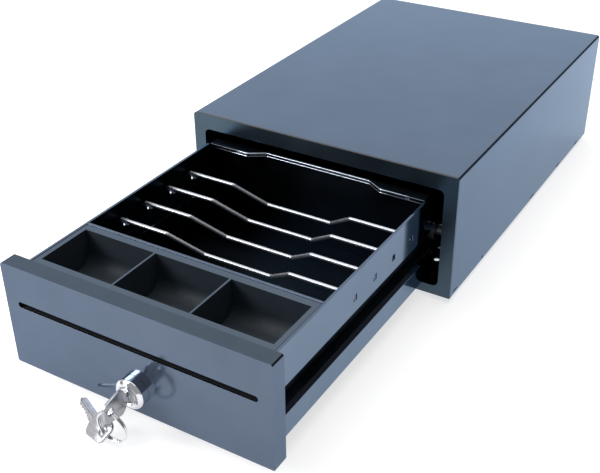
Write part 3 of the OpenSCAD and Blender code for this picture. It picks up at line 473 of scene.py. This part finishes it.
def make_wires():
    """Each wire dips in the middle, rises to both sides and turns down into the side's holes."""
    for i in range(WIRE_N):
        node = "note_wire_%d" % (i + 1)
        y = WIRE_LAST - (WIRE_N - 1 - i) * WIRE_PITCH
        high_y, high_z = y - 8, WIRE_Z + 8.8
        low_y, low_z = y + 5, WIRE_Z - 8.9
        half = [(29.7, low_y, low_z), (53.8, high_y, high_z), (WIRE_TURN_X, high_y, high_z),
                (WIRE_TURN_X, y, WIRE_Z), (WIRE_END_X, y, WIRE_Z)]
        pts = [D(-a, b, c) for a, b, c in reversed(half)] + [D(*p) for p in half]
        path = rounded_path(pts, 2.6 * MM, 6)
        dense = [path[0]]
        for a, b in zip(path, path[1:]):
            steps = max(1, int((b - a).length / 0.006))
            for k in range(1, steps + 1):
                dense.append(a.lerp(b, k / steps))
        v, f = tube(dense, WIRE_R * MM, 16)
        ob = mesh_piece("wire_%d" % (i + 1), v, f, "drawer", "wire")
        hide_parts(node)


make_wires()


# -------------------------------------------------------------------- hems
def strip(name, path, profile, body, mat):
    """Sweeps a closed profile of (sideways, up) pairs, in mm, along a level path."""
    verts, faces = [], []
    n, m = len(path), len(profile)
    for i, p in enumerate(path):
        t = (path[min(n - 1, i + 1)] - path[max(0, i - 1)]).normalized()
        side = Vector((t.y, -t.x, 0))
        verts += [p + (side * u + Vector((0, 0, w))) * MM for u, w in profile]
    for i in range(n - 1):
        for j in range(m):
            k = (j + 1) % m
            faces.append((i * m + j, i * m + k, (i + 1) * m + k, (i + 1) * m + j))
    faces.append(tuple(range(m))[::-1])
    faces.append(tuple((n - 1) * m + j for j in range(m)))
    return mesh_piece(name, verts, faces, body, mat)


def rounded_profile(width, height, radius, steps=4):
    """A rectangle with round corners, hanging below its top edge."""
    pts = []
    right, left = width / 2 - radius, radius - width / 2
    top, bottom = -radius, radius - height
    for cx, cz, a0 in ((right, top, 0), (left, top, 90), (left, bottom, 180), (right, bottom, 270)):
        for k in range(steps + 1):
            a = math.radians(a0 + 90 * k / steps)
            pts.append((cx + radius * math.cos(a), cz + radius * math.sin(a)))
    return pts


def make_wall_hem():
    """The rolled edge of the rear wall's flange, with its finger notch."""
    front = TRAVEL - 9.0
    back = TRAVEL - 0.9
    end_x = SIDE_X - 2.2
    wide_x = 61.5
    notch_x = 48.7
    line = [(-end_x, front), (-wide_x, front), (-notch_x, back),
            (notch_x, back), (wide_x, front), (end_x, front)]
    path = rounded_path([D(x, y, WALL_TOP) for x, y in line], 5.0 * MM, 6)
    # the hem and its lip are painted light, pale so they read as highlight lines
    strip("wall_hem", path, rounded_profile(1.5, 3.2, 0.55), "drawer", "hem")
    low = [p - Vector((0, 0.4, 3.1)) * MM for p in path]
    v, f = tube(low, 0.5 * MM, 10)
    mesh_piece("wall_hem_lip", v, f, "drawer", "hem")


make_wall_hem()


def make_frame_bead():
    """The frame's rolled front edge, a fine bead up both sides and over the top."""
    r = 0.45
    x, y, top = OUTER_X - r, r, TOP_Z - r
    path = rounded_path([F(-x, y, 0.6), F(-x, y, top), F(x, y, top), F(x, y, 0.6)], 2.2 * MM, 6)
    # the bead is painted light, pale so it reads as a highlight line
    v, f = tube(path, r * MM, 10)
    mesh_piece("frame_bead", v, f, "housing", "hem")


make_frame_bead()


# ----------------------------------------------------------------- springs
def make_spring(name, node, x, z, y0, y1, radius, wire, turns):
    """A coil along Y in the housing, with its end turns closed up."""
    n = int(turns * 26)
    pts = []
    for i in range(n + 1):
        t = i / n
        flat = 0.5 - 0.5 * math.cos(math.pi * t)
        yy = y0 + (y1 - y0) * (0.35 * flat + 0.65 * t)
        a = 2 * math.pi * turns * t
        pts.append(F(x + radius * math.cos(a), yy, z + radius * math.sin(a)))
    v, f = tube(pts, wire * MM, 10)
    ob = mesh_piece(name, v, f, "housing", "steel")
    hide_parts(node)


def spring_from_box(name, node, radius, wire, turns):
    lo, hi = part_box(node)
    x = (lo.x + hi.x) / 2 / MM
    z = (lo.z + hi.z) / 2 / MM
    y0 = lo.y / MM - FRONT_Y + wire
    y1 = hi.y / MM - FRONT_Y - wire
    make_spring(name, node, round(x, 1), z, y0, y1, radius, wire, turns)


spring_from_box("return_spring", "plunger_spring", 5.0, 0.48, 5)
spring_from_box("push_spring", "ejector_spring", 4.55, 0.68, 9)


# -------------------------------------------------------------------- coil
def lathe_y(profile, centre, sides=64):
    """Turns (radius, y) pairs about an axis along Y through centre; the profile is closed."""
    verts, faces = [], []
    m = len(profile)
    for j in range(sides):
        a = 2 * math.pi * j / sides
        for r, y in profile:
            x = centre[0] + r * math.cos(a)
            z = centre[2] + r * math.sin(a)
            verts.append(Vector((x, centre[1] + y, z)) * MM)
    for j in range(sides):
        k = (j + 1) % sides
        for i in range(m):
            n = (i + 1) % m
            faces.append((j * m + i, j * m + n, k * m + n, k * m + i))
    return verts, faces


def make_coil():
    lo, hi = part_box("solenoid_coil")
    cy = lo.y / MM
    cx = (lo.x + hi.x) / 2 / MM
    cz = (lo.z + hi.z) / 2 / MM
    length = (hi.y - lo.y) / MM
    prof = [(4.35, 0.0), (9.1, 0.0), (9.4, 0.3), (9.4, 1.2), (9.1, 1.5)]
    y = 1.5
    while y < length - 1.9:
        prof += [(8.25, y + 0.05), (8.48, y + 0.2), (8.5, y + 0.35), (8.3, y + 0.52)]
        y += 0.55
    prof += [(9.1, length - 1.5), (9.4, length - 1.2), (9.4, length - 0.3), (9.1, length), (4.35, length)]
    v, f = lathe_y(prof, (cx, cy, cz), 48)
    ob = mesh_piece("coil_winding", v, f, "housing", "tape")
    sharpen(ob, 50)
    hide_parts("solenoid_coil")


make_coil()


# ------------------------------------------------------------------- keys
KEY_HOLE = 16.0
KEY_HOLE_R = 3.2


def key_outline():
    """Bow outline, widest near the shoulder, with soft corners."""
    return [(-22.0, 5.2), (-19.6, 7.6), (-6.6, 10.25), (-4.6, 9.9), (-2.6, 8.2), (-1.2, 5.6), (-0.4, 4.0)]


def key_mesh(name):
    """A flat key lying in X and Z, blade along +X from the shoulder, 2 mm thick."""
    top = key_outline()
    path = [Vector((x, z, 0)) for x, z in top] + [Vector((x, -z, 0)) for x, z in reversed(top)]
    curve = bpy.data.curves.new(name + "_bow", "CURVE")
    curve.dimensions = "2D"
    curve.fill_mode = "BOTH"
    curve.extrude = 0.80 * MM
    curve.bevel_depth = 0.20 * MM
    curve.bevel_resolution = 2
    loop = []
    n = len(path)
    for i in range(n):
        a, b, c = path[i - 1], path[i], path[(i + 1) % n]
        r = 0.32 * min((a - b).length, (c - b).length)
        s, e = b + (a - b).normalized() * r, b + (c - b).normalized() * r
        for k in range(5):
            t = k / 4
            loop.append((s * (1 - t) + b * t) * (1 - t) + (b * (1 - t) + e * t) * t)
    shrink = 0.2
    centre = Vector((-11, 0, 0))
    sp = curve.splines.new("POLY")
    sp.points.add(len(loop) - 1)
    for pt, p in zip(sp.points, loop):
        q = p - (p - centre).normalized() * shrink
        pt.co = (q.x * MM, q.y * MM, 0, 1)
    sp.use_cyclic_u = True
    hole = curve.splines.new("POLY")
    hole.points.add(31)
    for k, pt in enumerate(hole.points):
        a = -2 * math.pi * k / 32
        pt.co = ((-KEY_HOLE + KEY_HOLE_R * math.cos(a)) * MM, KEY_HOLE_R * math.sin(a) * MM, 0, 1)
    hole.use_cyclic_u = True
    tmp = bpy.data.objects.new(name + "_tmp", curve)
    scene.collection.objects.link(tmp)
    bpy.context.view_layer.update()
    deps = bpy.context.evaluated_depsgraph_get()
    me = bpy.data.meshes.new_from_object(tmp.evaluated_get(deps))
    bpy.data.objects.remove(tmp)
    verts = [Vector((v.co.x, v.co.z, v.co.y)) / MM for v in me.vertices]
    faces = [tuple(reversed(p.vertices)) for p in me.polygons]
    bpy.data.meshes.remove(me)
    # blade: fluted section swept along, with bitting cut in its lower edge
    cuts = [(-1.2, -3.9), (0.0, -3.9), (3.0, -3.9), (3.8, -3.0), (4.8, -3.0), (5.6, -3.5),
            (6.2, -1.9), (7.4, -1.9), (8.2, -2.9), (8.8, -2.9), (9.6, -1.2), (10.8, -1.2),
            (11.6, -2.4), (12.2, -2.4), (13.0, -1.0), (14.2, -1.0), (15.0, -2.6), (15.6, -2.6),
            (16.4, -1.6), (17.6, -1.6), (18.4, -2.4), (19.0, -2.4), (20.2, -1.2), (21.4, -0.2),
            (21.9, 0.3)]
    base = len(verts)
    ring = 18
    for x, zb in cuts:
        zt = 3.9 if x < 19 else 3.9 - (x - 19) * 0.85
        half = 0.92
        pts = [(half, zb + 0.25), (half, max(zb + 0.3, 0.0)), (half - 0.42, max(zb + 0.35, 0.35)),
               (half - 0.42, max(zb + 0.4, 1.35)), (half, max(zb + 0.45, 1.75)), (half, zt - 0.8),
               (half - 0.35, zt - 0.3), (0.35, zt), (-0.35, zt)]
        pts += [(-half + 0.35, zt - 0.3), (-half, zt - 0.8), (-half, max(zb + 0.5, 2.4)),
                (-half + 0.42, max(zb + 0.42, 2.0)), (-half + 0.42, max(zb + 0.36, 0.95)),
                (-half, max(zb + 0.3, 0.55)), (-half, zb + 0.25), (-half + 0.3, zb), (half - 0.3, zb)]
        for y, z in pts:
            verts.append(Vector((x, y, min(z, zt))))
    for i in range(len(cuts) - 1):
        for j in range(ring):
            k = (j + 1) % ring
            near, far = base + i * ring, base + (i + 1) * ring
            faces.append((near + j, near + k, far + k, far + j))
    faces.append(tuple(base + j for j in range(ring))[::-1])
    faces.append(tuple(base + (len(cuts) - 1) * ring + j for j in range(ring)))
    return verts, faces


def put_key(name, node, body, matrix):
    verts, faces = key_mesh(name)
    out = [(matrix @ v) * MM for v in verts]
    me = bpy.data.meshes.new(name)
    me.from_pydata([tuple(v) for v in out], [], faces)
    me.validate()
    bm = bmesh.new()
    bm.from_mesh(me)
    bmesh.ops.remove_doubles(bm, verts=bm.verts, dist=1e-6)
    bmesh.ops.recalc_face_normals(bm, faces=bm.faces)
    bm.to_mesh(me)
    bm.free()
    me.polygons.foreach_set("use_smooth", [True] * len(me.polygons))
    me.materials.append(M["nickel"])
    ob = bpy.data.objects.new(name, me)
    scene.collection.objects.link(ob)
    sharpen(ob, 28)
    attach(ob, body)
    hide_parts(node)


LOCK_Z = 29.6
LOCK_NOSE = 8.5
BOW_GAP = 1.2
BOW_Y = -LOCK_NOSE - BOW_GAP
RING_R = 11.5
RING_DROP = 1.7
RING_Z = LOCK_Z - RING_DROP - RING_R
RING_Y = BOW_Y - KEY_HOLE
SPARE_TURN = math.radians(154)
SPARE_ROLL = math.radians(-37)
SPARE_PLACE = math.radians(222)
QUARTER = math.radians(90)
drawer_shift = Matrix.Translation(Vector((0, PANEL_Y, 0)))
in_lock = drawer_shift @ Matrix.Translation(Vector((0, BOW_Y, LOCK_Z))) @ Matrix.Rotation(QUARTER, 4, "Z")
spare_x = RING_R * math.cos(SPARE_PLACE)
spare_z = RING_Z + RING_R * math.sin(SPARE_PLACE)
on_ring = (drawer_shift @ Matrix.Translation(Vector((spare_x, RING_Y, spare_z)))
           @ Matrix.Rotation(SPARE_TURN, 4, "Z") @ Matrix.Rotation(SPARE_ROLL, 4, "X")
           @ Matrix.Translation(Vector((KEY_HOLE, 0, 0))) @ Matrix.Rotation(QUARTER, 4, "X"))
put_key("key", "key_in_lock", "key", in_lock)
put_key("key_spare", "spare_key", "spare", on_ring)


def make_ring():
    """Two turns of round wire that step across from one side to the other halfway."""
    pts = []
    n = 2 * 96
    start = math.radians(300)
    for i in range(n + 1):
        t = i / n
        a = start + 2 * math.pi * 2 * t * 0.992
        s = min(1.0, max(0.0, (t - 0.46) / 0.08))
        s = s * s * (3 - 2 * s)
        y = -0.74 + 1.48 * s
        pts.append(D(RING_R * math.cos(a), RING_Y + y, RING_Z + RING_R * math.sin(a)))
    v, f = tube(pts, 0.76 * MM, 12)
    ob = mesh_piece("split_ring", v, f, "ring", "chrome")
    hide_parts("key_ring")


make_ring()


# ------------------------------------------------------------------- stage
def make_stage():
    me = bpy.data.meshes.new("floor")
    s, z = 6.0, -0.0046
    me.from_pydata([(-s, -s, z), (s, -s, z), (s, s, z), (-s, s, z)], [], [(0, 1, 2, 3)])
    floor = bpy.data.objects.new("floor", me)
    scene.collection.objects.link(floor)
    mat, nt, bsdf = new_material("floor")
    bsdf.inputs["Base Color"].default_value = (0.55, 0.55, 0.555, 1)
    bsdf.inputs["Roughness"].default_value = 0.9
    bsdf.inputs["Specular IOR Level"].default_value = 0.0
    bsdf.inputs["Emission Color"].default_value = (1, 1, 1, 1)
    bsdf.inputs["Emission Strength"].default_value = 0.66
    me.materials.append(mat)


make_stage()


def area_light(name, where, target, size_x, size_y, power, colour=(1, 1, 1)):
    data = bpy.data.lights.new(name, "AREA")
    data.shape = "RECTANGLE"
    data.size, data.size_y = size_x, size_y
    data.energy = power
    data.color = colour
    ob = bpy.data.objects.new(name, data)
    scene.collection.objects.link(ob)
    ob.location = where
    ob.rotation_euler = (Vector(target) - Vector(where)).to_track_quat("-Z", "Y").to_euler()
    return ob


def make_world():
    world = bpy.data.worlds.new("studio")
    scene.world = world
    world.use_nodes = True
    nt = world.node_tree
    bg = nt.nodes["Background"]
    tc = nt.nodes.new("ShaderNodeTexCoord")
    sep = nt.nodes.new("ShaderNodeSeparateXYZ")
    nt.links.new(tc.outputs["Generated"], sep.inputs[0])
    # white sweep behind and beside the object, a darker room on the side of its front
    dot = nt.nodes.new("ShaderNodeVectorMath")
    dot.operation = "DOT_PRODUCT"
    dot.inputs[1].default_value = Vector((-0.35, 0.93, -0.10)).normalized()
    nt.links.new(tc.outputs["Generated"], dot.inputs[0])
    room = [(0.0, grey(0.34)), (0.02, grey(0.38)), (0.34, grey(1.0)), (1.0, grey(1.0))]
    r = ramp(nt, dot.outputs["Value"], room)
    # a dark flat at the back right draws a line along the cover's bends
    dark = [(0.0, grey(1.0)), (0.04, grey(1.0)), (0.24, grey(0.06)), (1.0, grey(0.06))]
    flat = ramp(nt, sep.outputs["X"], dark)
    back = [(0.0, grey(0.0)), (0.25, grey(0.0)), (0.45, grey(1.0)), (1.0, grey(1.0))]
    behind = ramp(nt, sep.outputs["Y"], back)
    both = nt.nodes.new("ShaderNodeMix")
    both.data_type = "RGBA"
    both.blend_type = "MULTIPLY"
    nt.links.new(behind, both.inputs["Factor"])
    nt.links.new(r, both.inputs["A"])
    nt.links.new(flat, both.inputs["B"])
    nt.links.new(both.outputs["Result"], bg.inputs["Color"])
    bg.inputs["Strength"].default_value = 1.25


make_world()
area_light("overhead", (0.0, -0.10, 1.7), (0, -0.1, 0), 1.6, 1.2, 14)
area_light("edge", (-0.95, -1.30, 1.55), (0, -0.25, 0.1), 0.8, 0.8, 6)
area_light("front_left", (-1.3, -1.6, 1.1), (0, -0.45, 0.05), 0.9, 0.9, 34)
